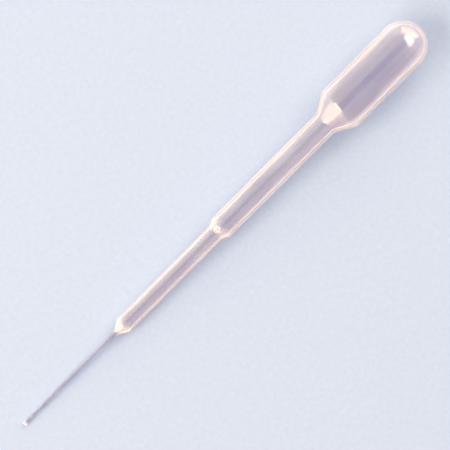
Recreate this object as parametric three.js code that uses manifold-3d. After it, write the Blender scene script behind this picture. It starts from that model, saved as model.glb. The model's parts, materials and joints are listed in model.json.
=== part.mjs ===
// A dropper pipette, blow-moulded in one piece from soft, milky polyethylene.
//
// A hollow wall runs from the open mouth of a finely drawn tip, through two stems, to a closed
// squeeze bulb. The mould's halves meet along a thin parting line on both sides of the wall.
//
// The pipette lies on a table, as it comes to rest: the rim of its mouth and the front of its bulb
// touch the surface, so its axis rises a few degrees towards the bulb.
// Units are millimetres. +Z is up, the tip points to -X, and the origin is on the table, under the
// middle of the pipette.

import * as THREE from 'three';
import { mergeVertices } from 'three/addons/utils/BufferGeometryUtils.js';
import Module from 'manifold-3d';

// ---------------------------------------------------------------- driving dimensions

// Outer diameters of the cut end of the tip and of the squeeze bulb.
const mouthDiameter = 1.15;
const bulbDiameter = 13.15;

// The stretches of the wall, from the mouth to the foot of the dome. Each has its length along the
// axis, its wall thickness, and the outer diameter and the rounding of the corner that it ends in.
const fineTip = { length: 34.7, wall: 0.3, endDiameter: 1.76, endRounding: 1.2 };
const tipCone = { length: 2.3, wall: 0.45, endDiameter: 4.7, endRounding: 0.7 };
const lowerStem = { length: 34.6, wall: 0.58, endDiameter: 4.79, endRounding: 0.4 };
const step = { length: 1.5, wall: 0.65, endDiameter: 6.5, endRounding: 1.4 };
const upperStem = { length: 38.7, wall: 0.78, endDiameter: 6.78, endRounding: 1.2 };
const shoulder = { length: 5.3, wall: 0.85, endDiameter: bulbDiameter, endRounding: 2.2 };
const bulb = { length: 23.1, wall: 0.98, endDiameter: bulbDiameter };

// The dome that closes the bulb is a little taller than half a ball.
const domeHeight = 6.8;
const domeWall = 0.95;

// The parting line is a fine ridge of plastic in the plane where the mould's halves meet.
const partingLineHeight = 0.05;
const partingLineWidth = 0.25;

// ---------------------------------------------------------------- fineness of the facets

const sides = 36;
const roundingSteps = 4;
const domeSteps = 12;

// How far the cutting shape for the bore passes out of the mouth.
const boreOverrun = 1;

// The sharpest rounding that an inner corner may have.
const leastInnerRounding = 0.3;

// The share of a stretch that the rounding at one of its ends may take up.
const roundingShare = 0.45;

// ---------------------------------------------------------------- the outline of the wall

// Outlines are drawn in a half plane: x runs along the axis from the mouth, and y is the radius.

const stretches = [fineTip, tipCone, lowerStem, step, upperStem, shoulder, bulb];

// The sharp corners of the outer outline, with the mouth as the first.
const corners = [new THREE.Vector2(0, mouthDiameter / 2)];
for (const stretch of stretches) {
  corners.push(new THREE.Vector2(corners.at(-1).x + stretch.length, stretch.endDiameter / 2));
}

const domeFoot = corners.at(-1);

// One straight line for each stretch, moved off the outer outline by that stretch's own offset:
// outwards if it is positive, and into the wall if it is negative.
function offsetLines(offsets) {
  return stretches.map((stretch, i) => {
    const direction = corners[i + 1].clone().sub(corners[i]).normalize();
    const outwards = new THREE.Vector2(-direction.y, direction.x);
    const start = corners[i].clone().addScaledVector(outwards, offsets[i]);
    return { start, direction };
  });
}

// The point where a line reaches a place along the axis.
function pointAt(line, x) {
  return line.start.clone().addScaledVector(line.direction, (x - line.start.x) / line.direction.x);
}

// The point where two lines cross.
function crossing(a, b) {
  const between = b.start.clone().sub(a.start);
  const along = between.cross(b.direction) / a.direction.cross(b.direction);
  return a.start.clone().addScaledVector(a.direction, along);
}

// The points of the arc that rounds a corner between its two neighbours.
function roundedCorner(before, corner, after, rounding) {
  const arriving = corner.clone().sub(before);
  const leaving = after.clone().sub(corner);
  const room = roundingShare * Math.min(arriving.length(), leaving.length());
  arriving.normalize();
  leaving.normalize();

  const turn = Math.atan2(arriving.cross(leaving), arriving.dot(leaving));
  const setback = Math.min(rounding * Math.tan(Math.abs(turn) / 2), room);
  const radius = setback / Math.tan(Math.abs(turn) / 2);
  const side = Math.sign(turn);

  const start = corner.clone().addScaledVector(arriving, -setback);
  const towardsCentre = new THREE.Vector2(-arriving.y, arriving.x).multiplyScalar(side);
  const centre = start.clone().addScaledVector(towardsCentre, radius);
  const startAngle = Math.atan2(-towardsCentre.y, -towardsCentre.x);
  const arc = new THREE.EllipseCurve(
    centre.x, centre.y, radius, radius, startAngle, startAngle + turn, turn < 0,
  );
  return arc.getPoints(roundingSteps);
}

// A whole outline, from its open end to the top of the dome on the axis. The offsets move each
// stretch off the outer outline, and roundingOf gives the rounding of a corner from the rounding
// of the outer one and the way that the outline turns there.
function outline(startX, offsets, domeOffset, roundingOf) {
  const lines = offsetLines(offsets);
  const foot = pointAt(lines.at(-1), domeFoot.x);
  const sharp = [pointAt(lines[0], startX)];
  for (let i = 1; i < lines.length; i += 1) {
    sharp.push(crossing(lines[i - 1], lines[i]));
  }
  sharp.push(foot);

  const points = [sharp[0]];
  for (let i = 1; i < sharp.length - 1; i += 1) {
    const bendsOutwards = lines[i].direction.y > lines[i - 1].direction.y;
    const rounding = roundingOf(stretches[i - 1], bendsOutwards);
    points.push(...roundedCorner(sharp[i - 1], sharp[i], sharp[i + 1], rounding));
  }
  const dome = new THREE.EllipseCurve(
    foot.x, 0, domeHeight + domeOffset, foot.y, Math.PI / 2, 0, true,
  );
  points.push(...dome.getPoints(domeSteps));
  return points;
}

const noOffsets = stretches.map(() => 0);
const outerOutline = outline(0, noOffsets, 0, (stretch) => stretch.endRounding);

// Inside the wall, a corner that bends outwards is rounded more than it is outside, and a corner
// that bends inwards is rounded less.
const wallOffsets = stretches.map((stretch) => -stretch.wall);
const innerOutline = outline(-boreOverrun, wallOffsets, -domeWall, (stretch, bendsOutwards) => {
  const change = bendsOutwards ? stretch.wall : -stretch.wall;
  return Math.max(stretch.endRounding + change, leastInnerRounding);
});

const ridgeOffsets = stretches.map(() => partingLineHeight);
const ridgeOutline = outline(0, ridgeOffsets, partingLineHeight, (stretch) => stretch.endRounding);

// ---------------------------------------------------------------- solids

const wasm = await Module();
wasm.setup();

function solidFrom(geometry) {
  geometry.deleteAttribute('normal');
  geometry.deleteAttribute('uv');
  const merged = mergeVertices(geometry);
  const mesh = new wasm.Mesh({
    numProp: 3,
    vertProperties: new Float32Array(merged.attributes.position.array),
    triVerts: new Uint32Array(merged.index.array),
  });
  return new wasm.Manifold(mesh);
}

function geometryFrom(solid) {
  const mesh = solid.getMesh();
  const geometry = new THREE.BufferGeometry();
  geometry.setAttribute('position', new THREE.BufferAttribute(mesh.vertProperties, 3));
  geometry.setIndex(new THREE.BufferAttribute(mesh.triVerts, 1));
  geometry.computeVertexNormals();
  return geometry;
}

// An outline turned about the axis, which lies along +X. One of the flat sides faces straight down.
function turned(points) {
  const open = points[0];
  const profile = [new THREE.Vector2(0, open.x)];
  for (const point of points) {
    profile.push(new THREE.Vector2(Math.max(point.y, 0), point.x));
  }
  profile.at(-1).x = 0;
  const geometry = new THREE.LatheGeometry(profile, sides, Math.PI / sides);
  geometry.rotateZ(-Math.PI / 2);
  return solidFrom(geometry);
}

// The outline and its mirror image as a thin plate in the level plane of the axis: once it is
// joined to the wall, only its edges stand out.
function partingPlate(points) {
  const upper = points.slice(0, -1);
  const lower = upper.map((point) => new THREE.Vector2(point.x, -point.y)).reverse();
  const shape = new THREE.Shape([...lower, ...upper, points.at(-1)]);
  const geometry = new THREE.ExtrudeGeometry(shape, { depth: partingLineWidth, bevelEnabled: false });
  geometry.translate(0, 0, -partingLineWidth / 2);
  return solidFrom(geometry);
}

const wall = turned(outerOutline).add(partingPlate(ridgeOutline)).subtract(turned(innerOutline));

// ---------------------------------------------------------------- the pipette at rest

// Where the centre of mass lies along the axis: each triangle and the mouth's centre make a wedge.
function balancePoint(geometry) {
  const corner = (i) => new THREE.Vector3().fromBufferAttribute(
    geometry.attributes.position, geometry.index.getX(i),
  );
  let volume = 0;
  let moment = 0;
  for (let i = 0; i < geometry.index.count; i += 3) {
    const [a, b, c] = [corner(i), corner(i + 1), corner(i + 2)];
    const wedge = a.dot(b.clone().cross(c));
    volume += wedge;
    moment += wedge * (a.x + b.x + c.x) / 4;
  }
  return moment / volume;
}

// The pipette lies on two points of its outline, one on each side of the balance point. They are
// the pair whose joining line passes furthest out below it. The flat sides stand a little inside
// the true circles, which eases the slope.
function restingTilt(points, balance) {
  let reach = 0;
  let slope = 0;
  for (const near of points.filter((point) => point.x <= balance)) {
    for (const far of points.filter((point) => point.x > balance)) {
      const climb = (far.y - near.y) / (far.x - near.x);
      const height = near.y + climb * (balance - near.x);
      if (height > reach) {
        reach = height;
        slope = climb;
      }
    }
  }
  return Math.atan(slope * Math.cos(Math.PI / sides));
}

const wallGeometry = geometryFrom(wall);
const restTilt = restingTilt(outerOutline, balancePoint(wallGeometry));

const pipette = new THREE.Mesh(
  wallGeometry,
  new THREE.MeshStandardMaterial({
    color: '#e4d9e2',
    roughness: 0.3,
    metalness: 0,
    transparent: true,
    opacity: 0.6,
  }),
);
pipette.name = 'pipette';
pipette.rotation.y = -restTilt;
pipette.updateMatrixWorld(true);

const extent = new THREE.Box3().setFromObject(pipette, true);
pipette.position.set(-(extent.min.x + extent.max.x) / 2, 0, -extent.min.z);

const group = new THREE.Group();
group.add(pipette);

export default group;
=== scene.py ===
# %% [markdown]
# # A milky dropper pipette
#
# A dropper pipette of this kind is blown from one soft tube of polyethylene, so it is one hollow
# wall: a fine tip, two stems and a squeeze bulb. This lesson builds that wall as a smooth shell,
# gives it the look of milky plastic, and sets it on a sheet of paper under soft light.
#
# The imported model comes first. It fixes where everything is, so nothing is placed by eye.

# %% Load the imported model
import json
import math

import bmesh
import bpy
from mathutils import Matrix, Vector


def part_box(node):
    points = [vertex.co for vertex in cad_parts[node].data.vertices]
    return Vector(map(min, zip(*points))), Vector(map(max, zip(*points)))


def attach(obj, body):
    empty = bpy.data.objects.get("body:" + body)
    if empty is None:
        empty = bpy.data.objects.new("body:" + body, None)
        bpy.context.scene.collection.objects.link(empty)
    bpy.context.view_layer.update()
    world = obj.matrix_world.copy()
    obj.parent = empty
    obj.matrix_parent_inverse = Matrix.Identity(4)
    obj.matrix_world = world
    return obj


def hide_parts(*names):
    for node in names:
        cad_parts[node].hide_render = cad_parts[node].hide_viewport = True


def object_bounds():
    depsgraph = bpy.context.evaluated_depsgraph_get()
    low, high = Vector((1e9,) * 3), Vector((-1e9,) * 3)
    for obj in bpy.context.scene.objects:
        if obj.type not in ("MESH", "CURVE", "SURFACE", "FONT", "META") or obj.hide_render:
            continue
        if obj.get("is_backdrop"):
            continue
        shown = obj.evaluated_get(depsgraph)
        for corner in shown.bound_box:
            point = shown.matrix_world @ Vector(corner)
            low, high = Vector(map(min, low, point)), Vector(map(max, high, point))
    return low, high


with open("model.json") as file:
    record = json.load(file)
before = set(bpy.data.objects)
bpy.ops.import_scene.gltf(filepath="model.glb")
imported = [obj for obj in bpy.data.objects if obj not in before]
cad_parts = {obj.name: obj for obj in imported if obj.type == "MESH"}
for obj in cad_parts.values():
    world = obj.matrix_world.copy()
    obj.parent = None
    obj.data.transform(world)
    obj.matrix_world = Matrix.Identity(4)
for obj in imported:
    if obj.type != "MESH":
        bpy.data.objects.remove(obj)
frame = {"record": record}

cad_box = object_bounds()
low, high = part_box("pipette")
mount = next(m for m in frame["record"]["mounts"] if m["name"] == "tip_end")
print("the packed pipette lies between", low, "and", high)

# %% [markdown]
# ## The sizes of the wall
#
# Each stretch of the wall has a length along the axis, a wall thickness, and the outer diameter and
# the rounding of the corner that it ends in. They are written in millimetres and turned to metres
# once, because Blender's unit is the metre here.
#
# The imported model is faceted, and its flat sides lie a little inside the true circles. A smooth wall
# has to stay inside them, so every outer radius is drawn in by that small share.

# %% Sizes
MM = 0.001
mouth_diameter = 1.15 * MM
bulb_diameter = 13.15 * MM
dome_height = 6.8 * MM
dome_wall = 0.95 * MM
facet_share = 0.9945

# name: length, wall, diameter at its end, rounding of the corner at its end
stretches = {
    "fine tip": (34.7, 0.3, 1.76, 1.2),
    "tip cone": (2.3, 0.45, 4.7, 0.7),
    "lower stem": (34.6, 0.58, 4.79, 0.4),
    "step": (1.5, 0.65, 6.5, 1.4),
    "upper stem": (38.7, 0.78, 6.78, 1.2),
    "shoulder": (5.3, 0.85, bulb_diameter / MM, 2.2),
    "bulb": (23.1, 0.98, bulb_diameter / MM, 0.0),
}
stretches = {name: tuple(value * MM for value in sizes) for name, sizes in stretches.items()}
walls = [sizes[1] for sizes in stretches.values()]
roundings = [sizes[3] for sizes in stretches.values()]

corners = [Vector((0, mouth_diameter / 2 * facet_share))]
for length, _, diameter, _ in stretches.values():
    corners.append(Vector((corners[-1].x + length, diameter / 2 * facet_share)))
total_length = corners[-1].x + dome_height
print(f"the pipette is {total_length / MM:.1f} mm long")

# %% [markdown]
# ## Where the inside of the wall runs
#
# The inside follows the outside at the thickness of the wall, and the thickness changes from stretch
# to stretch. So each outer line is moved inwards by its own wall, and the inner corners are where the
# moved lines cross. That keeps an even wall on the slopes as well as on the straight stems.

# %% Inner corners
def moved_inwards(i):
    """The outer line of stretch i moved into the wall: a point on it and its direction."""
    along = (corners[i + 1] - corners[i]).normalized()
    outwards = Vector((-along.y, along.x))
    return corners[i] - outwards * walls[i], along


def crossing(a, b):
    """Where two lines cross, each given by a point and a direction."""
    (start, along), (other, beyond) = a, b
    share = (other - start).cross(beyond) / along.cross(beyond)
    return start + along * share


def at_place(line, x):
    """The point of a line at a place along the axis."""
    start, along = line
    return start + along * ((x - start.x) / along.x)


LEAST_ROUNDING = 0.3 * MM
lines = [moved_inwards(i) for i in range(len(walls))]
inner_corners = [at_place(lines[0], 0.0)]
inner_corners += [crossing(a, b) for a, b in zip(lines, lines[1:])]
inner_corners.append(at_place(lines[-1], corners[-1].x))

inner_roundings = []
for i, rounding in enumerate(roundings[:-1]):
    bends_outwards = lines[i + 1][1].y > lines[i][1].y
    change = walls[i] if bends_outwards else -walls[i]
    inner_roundings.append(max(rounding + change, LEAST_ROUNDING))
print(f"the bore is {2 * inner_corners[0].y / MM:.2f} mm wide at the mouth")

# %% [markdown]
# ## Half of the section, spun round
#
# A turned shape is easiest to make as half of its section, spun about the axis. The half section is
# a chain of vertices: down the outside from the foot of the dome to the mouth, over the cut end, and
# back along the bore. One chain for both sides keeps them on the same vertices at the cut end, so
# the spun wall closes by itself. The other way, two tubes joined by a bridge, can twist.

# %% A chain of vertices
def chain(bm, points):
    """Vertices through the points, joined by edges. x is along the axis, and z is the radius."""
    made = [bm.verts.new((point.x, 0.0, point.y)) for point in points]
    for a, b in zip(made, made[1:]):
        bm.edges.new((a, b))
    return made


wall = bmesh.new()
made = chain(wall, corners[::-1] + inner_corners)
outer_made = made[:len(corners)][::-1]
inner_made = made[len(corners):]
print("the chain has", len(made), "vertices")

# %% [markdown]
# ## Domes and rounded corners
#
# Air blew this wall against the mould, so no corner in it is sharp. A bevel on a vertex rounds its
# corner. It takes the distance from the corner to where the rounding starts, so that is worked out
# from the radius and the turn of the corner.
#
# Each dome is an arc: the vertex at its foot is spun a quarter of a turn, and the arc is stretched
# along the axis, because the end of this bulb is a little taller than half a ball.

# %% Round a corner, add a dome
CORNER_STEPS = 8
DOME_STEPS = 28
ROOM_SHARE = 0.45


def round_corner(bm, vertex, rounding):
    """Round the corner at a vertex of the chain, as far as its edges have room."""
    ends = [edge.other_vert(vertex).co - vertex.co for edge in vertex.link_edges]
    turn = math.pi - ends[0].angle(ends[1])
    room = ROOM_SHARE * min(end.length for end in ends)
    setback = min(rounding * math.tan(turn / 2), room)
    bmesh.ops.bevel(
        bm, geom=[vertex], offset=setback, offset_type="OFFSET", segments=CORNER_STEPS,
        profile=0.5, affect="VERTICES", material=-1,
    )


def add_dome(bm, foot, height):
    """A quarter of an ellipse from the foot vertex to the axis."""
    before = set(bm.verts)
    centre = Vector((foot.co.x, 0.0, 0.0))
    radius = foot.co.z
    bmesh.ops.spin(
        bm, geom=[foot], cent=centre, axis=(0, 1, 0), angle=math.pi / 2, steps=DOME_STEPS,
        use_merge=False, use_duplicate=False,
    )
    arc = [vertex for vertex in bm.verts if vertex not in before]
    stretch = (height / radius, 1, 1)
    bmesh.ops.scale(bm, vec=stretch, space=Matrix.Translation(-centre), verts=arc)


add_dome(wall, outer_made[-1], dome_height)
add_dome(wall, inner_made[-1], dome_height - dome_wall)
for vertex, rounding in zip(outer_made[1:-1], roundings):
    round_corner(wall, vertex, rounding)
for vertex, rounding in zip(inner_made[1:-1], inner_roundings):
    round_corner(wall, vertex, rounding)
print("the half section has", len(wall.verts), "vertices")

# %% [markdown]
# ## Long stretches need rings
#
# A stem is one straight line from corner to corner, so its faces would be 30 mm long and very thin.
# Such slivers shade badly and bake badly, so each long edge is cut into shorter ones before the spin.

# %% Cut the long edges
LONGEST_EDGE = 2.0 * MM
for edge in wall.edges[:]:
    cuts = int(edge.calc_length() / LONGEST_EDGE)
    if cuts:
        bmesh.ops.subdivide_edges(wall, edges=[edge], cuts=cuts)
print("with its rings it has", len(wall.verts), "vertices")

# %% [markdown]
# ## The spin
#
# One full turn about the axis makes both sides of the wall at once. The points on the axis are spun
# on the spot, so doubles are merged to close the domes. Then all faces are turned to point out of
# the plastic, which on the bore means towards the axis.

# %% Spin it
ROUND_STEPS = 144
MERGE_DISTANCE = 0.001 * MM
bmesh.ops.spin(
    wall, geom=wall.verts[:] + wall.edges[:], cent=(0, 0, 0), axis=(1, 0, 0),
    angle=2 * math.pi, steps=ROUND_STEPS, use_merge=True, use_duplicate=False,
)
bmesh.ops.remove_doubles(wall, verts=wall.verts, dist=MERGE_DISTANCE)
bmesh.ops.recalc_face_normals(wall, faces=wall.faces)
print(f"the wall holds {wall.calc_volume() / MM ** 3:.0f} cubic mm of plastic")

# %% [markdown]
# ## The parting line
#
# The two halves of the mould met in the level plane of the axis, and left a hair-fine ridge on both
# sides of the pipette and round its dome. It is real geometry here, so that it catches the light:
# the skin is cut along lines close to the plane, and the new vertices between them are lifted a
# little, most in the middle. Only the outer skin is touched, because the bore never met the mould.

# %% Cut and lift the ridge
ridge_height = 0.05 * MM
ridge_width = 0.25 * MM
RIDGE_CUTS = (-0.5, -0.25, 0.0, 0.25, 0.5)

# A vertex nearer than this to a cut, in metres, is taken to lie on it.
CUT_TOLERANCE = 1e-8

# The face of the cut end looks along the axis, and leans away from it by less than this.
LEAST_LEAN = 1e-9

# So near the mouth, the lift leads straight out from the axis, and the cut end stays flat.
CUT_END_REACH = 1.0 * MM


def faces_outwards(face):
    """True on the outer skin: its normal leads away from the axis."""
    middle = face.calc_center_median()
    return face.normal.y * middle.y + face.normal.z * middle.z > LEAST_LEAN


for share in RIDGE_CUTS:
    skin = [face for face in wall.faces if faces_outwards(face)]
    edges = list({edge for face in skin for edge in face.edges})
    verts = list({vertex for face in skin for vertex in face.verts})
    bmesh.ops.bisect_plane(
        wall, geom=verts + edges + skin, dist=CUT_TOLERANCE,
        plane_co=(0, 0, share * ridge_width), plane_no=(0, 0, 1),
    )

lifts = {}
for vertex in wall.verts:
    fall = 1 - (2 * vertex.co.z / ridge_width) ** 2
    skin = [face.normal for face in vertex.link_faces if faces_outwards(face)]
    if fall > 0 and skin:
        outwards = sum(skin, Vector()).normalized()
        if vertex.co.x < CUT_END_REACH:
            outwards.x = 0
        lifts[vertex] = outwards * (ridge_height * fall)
for vertex, lift in lifts.items():
    vertex.co += lift
bore_faces = [not faces_outwards(face) for face in wall.faces]
open_edges = sum(edge.is_boundary for edge in wall.edges)
print("the ridge has", len(lifts), "vertices, and the wall has", open_edges, "open edges")

# %% [markdown]
# ## Laid down on the table
#
# On a table the pipette rests on the rim of its mouth and on the front of its bulb, so its axis
# rises a few degrees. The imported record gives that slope: the mount on the cut end looks out along
# the axis. The mesh itself is turned and moved, and its object stays at the origin.

# %% Lay it down
tilt = math.asin(-mount["axis"][2])
mouth_radius = mouth_diameter / 2 * facet_share
wall.transform(Matrix.Rotation(-tilt, 4, "Y"))
mouth = Vector((
    low.x + mouth_radius * math.sin(tilt), 0.0, low.z + mouth_radius * math.cos(tilt),
))
wall.transform(Matrix.Translation(mouth))
print(f"the axis rises {math.degrees(tilt):.2f} degrees towards the bulb")

# %% [markdown]
# ## The finished piece
#
# The mesh becomes an object. Smooth shading hides its facets, and edges that turn by more than 35
# degrees stay sharp, which are the two rims of the cut end. Two calls then tie it to the imported
# model: it rides on the root body, and the pipette's faceted solid is hidden, so that it stands for
# it.

# %% Make the object
SHARP_ANGLE = math.radians(35)
mesh = bpy.data.meshes.new("pipette_wall")
wall.to_mesh(mesh)
wall.free()
for polygon in mesh.polygons:
    polygon.use_smooth = True
mesh.set_sharp_from_angle(angle=SHARP_ANGLE)
pipette_wall = bpy.data.objects.new("pipette_wall", mesh)
bpy.context.collection.objects.link(pipette_wall)
on_bore = mesh.attributes.new("on_bore", "FLOAT", "FACE")
for value, is_bore in zip(on_bore.data, bore_faces):
    value.value = float(is_bore)
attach(pipette_wall, "root")
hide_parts("pipette")
print("the piece has", len(mesh.polygons), "faces")

# %% [markdown]
# ## Milky polyethylene
#
# Soft polyethylene is clear in a thin film and milky in a thick wall, because tiny crystals in it
# scatter light. So the milkiness belongs inside the wall, as a volume, and not on its skin: where
# the wall is seen edge-on, the sight line crosses much more of it, and that draws a pale band along
# every outline.
#
# Light is let straight through the skin, with hardly any bending, because a bent path would smear
# that band away. The gloss of the real skin comes back as a clear coat with the true index of
# polyethylene.

# %% The plastic
NEARLY_STRAIGHT_IOR = 1.01
POLYETHYLENE_IOR = 1.51
milky = bpy.data.materials.new("milky_polyethylene")
milky.use_nodes = True
nodes = milky.node_tree.nodes
links = milky.node_tree.links
plastic = nodes["Principled BSDF"]
plastic.inputs["IOR"].default_value = NEARLY_STRAIGHT_IOR
plastic.inputs["Transmission Weight"].default_value = 1.0
plastic.inputs["Coat Weight"].default_value = 1.0
plastic.inputs["Coat IOR"].default_value = POLYETHYLENE_IOR
plastic.inputs["Coat Roughness"].default_value = 0.16
plastic.inputs["Sheen Roughness"].default_value = 0.4
plastic.inputs["Sheen Tint"].default_value = (1.0, 0.94, 0.90, 1)
mesh.materials.append(milky)
print("the gloss has an index of", POLYETHYLENE_IOR, "and the wall itself", NEARLY_STRAIGHT_IOR)

# %% Values along the pipette
place = nodes.new("ShaderNodeTexCoord")
along = nodes.new("ShaderNodeSeparateXYZ")
links.new(place.outputs["Object"], along.inputs["Vector"])


def between(value, low_end, high_end, low_result, high_result):
    """A value's range from low_end to high_end, spread over the two results."""
    spread = nodes.new("ShaderNodeMapRange")
    spread.inputs["From Min"].default_value = low_end
    spread.inputs["From Max"].default_value = high_end
    spread.inputs["To Min"].default_value = low_result
    spread.inputs["To Max"].default_value = high_result
    links.new(value, spread.inputs["Value"])
    return spread.outputs["Result"]


# %% [markdown]
# ## Two skins
#
# The outer skin took the polish of the mould. The skin of the bore was formed by air alone, so it
# is a little matt and blooms at a flat angle, and a bright line shows where the sight line touches
# the bore. Sheen stands for that bloom. Every face remembers which skin it belongs to, and the sheen
# is stronger on the bore. The bulb was blown out widest and the fine tip was drawn thinnest. That
# stretched their skins smooth, and they bloom less than the stems.

# %% Where each stretch starts
starts = {}
reached = mouth.x
for name, sizes in stretches.items():
    starts[name] = reached
    reached += sizes[0]
    print(f"the {name} starts at x = {starts[name] / MM:.1f} mm")

# %% The bloom on the two skins
# How strongly each skin blooms: on the fine tip, on the stems and on the bulb.
OUTER_BLOOM = (0.1, 0.45, 0.2)
BORE_BLOOM = (0.45, 1.0, 0.8)


def bloom_along(on_tip, on_stems, on_bulb):
    """The bloom of one skin, which changes over the tip cone and again over the shoulder."""
    place_x = along.outputs["X"]
    below = between(place_x, starts["tip cone"], starts["lower stem"], on_tip, on_stems)
    change = between(place_x, starts["shoulder"], starts["bulb"], 0.0, on_bulb - on_stems)
    total = nodes.new("ShaderNodeMath")
    total.operation = "ADD"
    links.new(below, total.inputs[0])
    links.new(change, total.inputs[1])
    return total.outputs["Value"]


which_skin = nodes.new("ShaderNodeAttribute")
which_skin.attribute_name = "on_bore"
bloom = nodes.new("ShaderNodeMix")
links.new(which_skin.outputs["Fac"], bloom.inputs["Factor"])
links.new(bloom_along(*OUTER_BLOOM), bloom.inputs["A"])
links.new(bloom_along(*BORE_BLOOM), bloom.inputs["B"])
links.new(bloom.outputs["Result"], plastic.inputs["Sheen Weight"])
print("on the stems the outer skin blooms", OUTER_BLOOM[1], "and the bore", BORE_BLOOM[1])

# %% [markdown]
# ## Drawn lines
#
# The soft tube was drawn down before it was blown, and that left fine lines along its whole length,
# in the skin and in the milkiness alike. Noise stretched along the axis gives both: a Mapping node
# turns the pattern by the slope that the pipette lies at and squeezes its length, so that the lines
# follow the stems.

# %% A pattern stretched along the axis
STREAK_SIZE = 1.2 * MM
LINE_SIZE = 0.8 * MM
CLOUD_SIZE = 3.0 * MM

# Noise lies mostly between these two values, so they are taken as its lowest and highest.
NOISE_LOW = 0.3
NOISE_HIGH = 0.7


def stretched_noise(size, stretch, detail):
    """Noise whose spots are size metres across and stretch times as long."""
    turned = nodes.new("ShaderNodeMapping")
    turned.vector_type = "POINT"
    turned.inputs["Rotation"].default_value = (0, tilt, 0)
    turned.inputs["Scale"].default_value = (1 / stretch, 1, 1)
    links.new(place.outputs["Object"], turned.inputs["Vector"])
    noise = nodes.new("ShaderNodeTexNoise")
    noise.inputs["Scale"].default_value = 1 / size
    noise.inputs["Detail"].default_value = detail
    links.new(turned.outputs["Vector"], noise.inputs["Vector"])
    return noise.outputs["Fac"]


streaks = stretched_noise(size=STREAK_SIZE, stretch=50.0, detail=2.0)
drawn_lines = stretched_noise(size=LINE_SIZE, stretch=100.0, detail=3.0)
clouds = stretched_noise(size=CLOUD_SIZE, stretch=4.0, detail=4.0)
for name, size in (("streaks", STREAK_SIZE), ("lines", LINE_SIZE), ("clouds", CLOUD_SIZE)):
    print(f"the {name} are about {size / MM:.1f} mm across")

# %% [markdown]
# ## How milky each stretch is
#
# The bulb was blown out wide and is the clearest part, and the stems kept more of their milkiness.
# The cone above the fine tip is nearly white, because the plastic was drawn down hardest there, and
# so is the cut end, where the blade strained it. A colour ramp along the axis holds two stops for
# each stretch, a little inside its two ends, and blends from one stretch to the next between them.

# %% The milkiness inside the wall
# How much of the light is scattered in each metre of the wall.
milkiness = {
    "fine tip": 95.0,
    "tip cone": 700.0,
    "lower stem": 182.0,
    "step": 330.0,
    "upper stem": 118.0,
    "shoulder": 100.0,
    "bulb": 76.0,
}
CUT_END_MILKINESS = 2000.0
CUT_END_LENGTH = 0.325 * MM
HIGHEST_MILKINESS = max(CUT_END_MILKINESS, *milkiness.values())

# How far inside the ends of its stretch a stop lies: a share of the stretch, up to a longest blend.
BLEND_SHARE = 0.12
LONGEST_BLEND = 1.2 * MM

blend = nodes.new("ShaderNodeValToRGB")
ramp = blend.color_ramp.elements
bulb_end = mouth.x + total_length
cut_end_grey = CUT_END_MILKINESS / HIGHEST_MILKINESS
wanted = [(0.0, cut_end_grey), (CUT_END_LENGTH, cut_end_grey)]
for name, sizes in stretches.items():
    grey = milkiness[name] / HIGHEST_MILKINESS
    start = starts[name] - mouth.x
    end = start + sizes[0]
    inset = min(BLEND_SHARE * sizes[0], LONGEST_BLEND)
    wanted += [(start + inset, grey), (end - inset, grey)]
while len(ramp) < len(wanted):
    ramp.new(1.0)
for stop, (position, grey) in zip(ramp, wanted):
    stop.position = position / total_length
    stop.color = (grey, grey, grey, 1)
links.new(between(along.outputs["X"], mouth.x, bulb_end, 0.0, 1.0), blend.inputs["Fac"])
print("the ramp has", len(ramp), "stops, up to", HIGHEST_MILKINESS, "per metre")

# %% Streaks and tint inside the wall
LEAST_STREAK = 0.5 * HIGHEST_MILKINESS
MOST_STREAK = 1.5 * HIGHEST_MILKINESS
density = nodes.new("ShaderNodeMath")
density.operation = "MULTIPLY"
streaked = between(streaks, NOISE_LOW, NOISE_HIGH, LEAST_STREAK, MOST_STREAK)
links.new(blend.outputs["Color"], density.inputs[0])
links.new(streaked, density.inputs[1])

milk_tint = nodes.new("ShaderNodeMix")
milk_tint.data_type = "RGBA"
milk_tint.inputs["A"].default_value = (1.0, 0.97, 0.96, 1)
milk_tint.inputs["B"].default_value = (1.0, 0.94, 0.89, 1)
into_bulb = between(along.outputs["X"], starts["shoulder"], starts["bulb"], 0.0, 1.0)
links.new(into_bulb, milk_tint.inputs["Factor"])

inside = nodes.new("ShaderNodeVolumeScatter")
links.new(density.outputs["Value"], inside.inputs["Density"])
links.new(milk_tint.outputs["Result"], inside.inputs["Color"])
links.new(inside.outputs["Volume"], nodes["Material Output"].inputs["Volume"])
print("the clearest stretch scatters", min(milkiness.values()), "per metre before its streaks")

# %% [markdown]
# ## Lines and clouds in the skin
#
# The lines in the skin are too fine for geometry, so a Bump node carries them, into the skin's
# normal and the coat's. They fade out along the lower stem towards the fine tip, which was drawn too
# thin to keep them. Slow clouds show where the wall cooled unevenly, and they change the tint and the
# roughness by a little.

# %% Lines into the bump
LINE_DEPTH = 0.06 * MM
STRENGTH_ON_TIP = 0.05
STRENGTH_ON_STEMS = 0.6
strength = between(
    along.outputs["X"], starts["tip cone"], starts["step"], STRENGTH_ON_TIP, STRENGTH_ON_STEMS,
)
bump = nodes.new("ShaderNodeBump")
bump.inputs["Distance"].default_value = LINE_DEPTH
links.new(strength, bump.inputs["Strength"])
links.new(drawn_lines, bump.inputs["Height"])
links.new(bump.outputs["Normal"], plastic.inputs["Normal"])
links.new(bump.outputs["Normal"], plastic.inputs["Coat Normal"])
print(f"the lines are {LINE_DEPTH / MM:.2f} mm deep at full strength")

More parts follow.
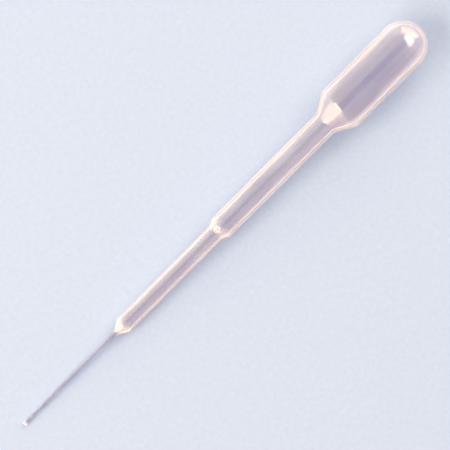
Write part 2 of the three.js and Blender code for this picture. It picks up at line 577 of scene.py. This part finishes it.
# %% Clouds into the tint and the roughness
SMOOTHEST = 0.16
ROUGHEST = 0.26
tint = nodes.new("ShaderNodeMix")
tint.data_type = "RGBA"
tint.inputs["A"].default_value = (0.80, 0.80, 0.92, 1)
tint.inputs["B"].default_value = (0.90, 0.90, 0.99, 1)
cloud_share = between(clouds, NOISE_LOW, NOISE_HIGH, 0.0, 1.0)
cloud_roughness = between(clouds, NOISE_LOW, NOISE_HIGH, SMOOTHEST, ROUGHEST)
links.new(cloud_share, tint.inputs["Factor"])
links.new(tint.outputs["Result"], plastic.inputs["Base Color"])
links.new(cloud_roughness, plastic.inputs["Roughness"])
print("the skin's roughness runs from", SMOOTHEST, "to", ROUGHEST)

# %% [markdown]
# ## The table
#
# The pipette is so clear that it takes much of its colour from what it lies on, so the table is one
# plain, pale sheet of paper. Its tone is set deeper than it looks, because the lamps are strong, and
# cool, because they are warm. The paper's fibres are faint noise.

# %% The sheet of paper
PAPER_HALF_WIDTH = 1.5
paper_mesh = bpy.data.meshes.new("table")
sheet = bmesh.new()
bmesh.ops.create_grid(sheet, x_segments=1, y_segments=1, size=PAPER_HALF_WIDTH)
bmesh.ops.translate(sheet, vec=(0, 0, cad_box[0][2]), verts=sheet.verts)
sheet.to_mesh(paper_mesh)
sheet.free()
table = bpy.data.objects.new("table", paper_mesh)
bpy.context.collection.objects.link(table)
table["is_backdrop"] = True
print("the table lies at z =", cad_box[0][2])

# %% The paper's tone and fibres
PAPER_TONE = (0.208, 0.290, 0.545)
FIBRE_SIZE = 1.2 * MM
FIBRE_CONTRAST = 0.03

paper = bpy.data.materials.new("pale_paper")
paper.use_nodes = True
paper_nodes = paper.node_tree.nodes
paper_links = paper.node_tree.links
sheet_look = paper_nodes["Principled BSDF"]
sheet_look.inputs["Roughness"].default_value = 0.75
sheet_look.inputs["Specular IOR Level"].default_value = 0.05

paper_place = paper_nodes.new("ShaderNodeTexCoord")
fibres = paper_nodes.new("ShaderNodeTexNoise")
fibres.inputs["Scale"].default_value = 1 / FIBRE_SIZE
fibres.inputs["Detail"].default_value = 6.0
fibre_tone = paper_nodes.new("ShaderNodeMapRange")
fibre_tone.inputs["From Min"].default_value = NOISE_LOW
fibre_tone.inputs["From Max"].default_value = NOISE_HIGH
fibre_tone.inputs["To Min"].default_value = 1 - FIBRE_CONTRAST
fibre_tone.inputs["To Max"].default_value = 1 + FIBRE_CONTRAST
shaded = paper_nodes.new("ShaderNodeVectorMath")
shaded.operation = "SCALE"
shaded.inputs[0].default_value = PAPER_TONE
paper_links.new(paper_place.outputs["Object"], fibres.inputs["Vector"])
paper_links.new(fibres.outputs["Fac"], fibre_tone.inputs["Value"])
paper_links.new(fibre_tone.outputs["Result"], shaded.inputs["Scale"])
paper_links.new(shaded.outputs["Vector"], sheet_look.inputs["Base Color"])
paper_mesh.materials.append(paper)
print(f"the paper's tone varies by {FIBRE_CONTRAST:.0%}")

# %% [markdown]
# ## Soft light
#
# Milkiness shows best in light that crosses the wall from the side: light from straight above would
# only brighten the paper. The pipette is straight, so its stems and bulb mirror only what stands
# square to them. The strong, warm lamps are therefore put past the tip and past the bulb, where they
# light the milky wall and are mirrored in the cones and the dome alone. Of these, the low ones are
# wide and soft, and the high ones are narrow, so that a close, darker shadow lies along the pipette.
#
# The two lamps at the sides are weak and less warm. Each is mirrored as a faint sheen along one side
# of the stems and the bulb, and between the two a darker streak is left open along the middle.
#
# A lamp is described by what it looks like from the pipette: the direction it is seen in, its size,
# and how bright its surface is. Its power follows from those.

# %% A soft lamp
LAMP_DISTANCE = 1.5
lamp_colour = (1.0, 0.735, 0.43)
side_colour = (1.0, 0.90, 0.58)
lamp_aim = Vector((0, 0, 5 * MM))


def soft_lamp(name, turn, rise, width, height, brightness, colour=lamp_colour):
    """A lamp seen turn degrees round from the bulb's end and rise degrees above the table."""
    lamp = bpy.data.lights.new(name, "AREA")
    lamp.shape = "RECTANGLE"
    lamp.size = width
    lamp.size_y = height
    lamp.energy = brightness * math.pi * width * height
    lamp.color = colour
    holder = bpy.data.objects.new(name, lamp)
    bpy.context.collection.objects.link(holder)
    turn = math.radians(turn)
    rise = math.radians(rise)
    level = Vector((math.cos(turn), math.sin(turn), 0))
    towards = level * math.cos(rise) + Vector((0, 0, math.sin(rise)))
    across = Vector((-level.y, level.x, 0))
    facing = Matrix((across, towards.cross(across), towards)).transposed().to_4x4()
    holder.matrix_world = Matrix.Translation(lamp_aim + towards * LAMP_DISTANCE) @ facing
    print(f"{name}: {lamp.energy:.0f} W")


# %% The lamps
soft_lamp("low_window", turn=167, rise=20, width=1.7, height=0.9, brightness=5)
soft_lamp("low_sky", turn=158, rise=20, width=3.2, height=0.9, brightness=2)
soft_lamp("high_window", turn=160, rise=50, width=1.3, height=0.65, brightness=18)
soft_lamp("past_bulb", turn=5, rise=50, width=1.2, height=0.5, brightness=15)
soft_lamp("past_bulb_low", turn=18, rise=20, width=1.8, height=0.9, brightness=7)
soft_lamp(
    "left_side", turn=90, rise=40, width=2.0, height=2.0, brightness=1.4, colour=side_colour,
)
soft_lamp(
    "right_side", turn=-90, rise=52, width=2.0, height=1.3, brightness=0.35, colour=side_colour,
)

# %% The room around
ROOM_BRIGHTNESS = 0.05
room = bpy.data.worlds.new("studio")
bpy.context.scene.world = room
room.use_nodes = True
surroundings = room.node_tree.nodes["Background"]
surroundings.inputs["Color"].default_value = (*lamp_colour, 1)
surroundings.inputs["Strength"].default_value = ROOM_BRIGHTNESS
print("the room around has a brightness of", ROOM_BRIGHTNESS)

# %% [markdown]
# ## The camera
#
# The camera looks straight down, turned so that the pipette crosses the picture from the lower left
# to the upper right. It stands well back with a long lens, because a near camera would show more of
# the bulb's far side than of its near side.

# %% The camera
CAMERA_HEIGHT = 0.6

# How much of the level of the bulb's middle the picture takes in, from side to side, in metres.
PICTURE_WIDTH = 0.11722
SENSOR_WIDTH = 36.0
roll = math.radians(-45.04)
sideways_shift = 0.94 * MM
upward_shift = 0.56 * MM

lens = bpy.data.cameras.new("camera")
camera = bpy.data.objects.new("camera", lens)
bpy.context.collection.objects.link(camera)
bpy.context.scene.camera = camera
lens.sensor_width = SENSOR_WIDTH
lens.lens = SENSOR_WIDTH * CAMERA_HEIGHT / PICTURE_WIDTH
lens.clip_start = 0.01
lens.clip_end = 10
right = Vector((math.cos(roll), math.sin(roll), 0))
up = Vector((-math.sin(roll), math.cos(roll), 0))
spot = right * sideways_shift + up * upward_shift
bulb_middle_height = bulb_diameter / 2
camera.location = (spot.x, spot.y, CAMERA_HEIGHT + bulb_middle_height)
camera.rotation_euler = (0, 0, roll)
print(f"a {lens.lens:.0f} mm lens, {camera.location.z:.3f} m above the table")

# %% [markdown]
# ## Light paths and colour
#
# Light that enters the milky wall scatters several times before it leaves. With the volume's
# bounces left at none the wall would turn grey, so the renderer is told to follow more of them. The
# Standard view keeps the colours of the paper and the plastic as they are set.

# %% Bounces and view
paths = bpy.context.scene.cycles
paths.volume_bounces = 12
paths.max_bounces = 32
paths.transmission_bounces = 24
paths.diffuse_bounces = 6
paths.glossy_bounces = 8
bpy.context.scene.view_settings.view_transform = "Standard"
print("light may scatter", paths.volume_bounces, "times in the wall")

# %% [markdown]
# ## Last, the size
#
# The smooth wall has to stay inside the imported model's box. Both boxes are printed side by side,
# and gathered together at the end.

# %% Print the sizes and finish
visual_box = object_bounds()
for axis, cad_low, cad_high, seen_low, seen_high in zip("xyz", *cad_box, *visual_box):
    print(f"{axis}: packed {cad_low / MM:.3f} to {cad_high / MM:.3f}, "
          f"smooth {seen_low / MM:.3f} to {seen_high / MM:.3f} mm")
sizes = {
    "cad": [list(corner) for corner in cad_box],
    "visual": [list(corner) for corner in visual_box],
}
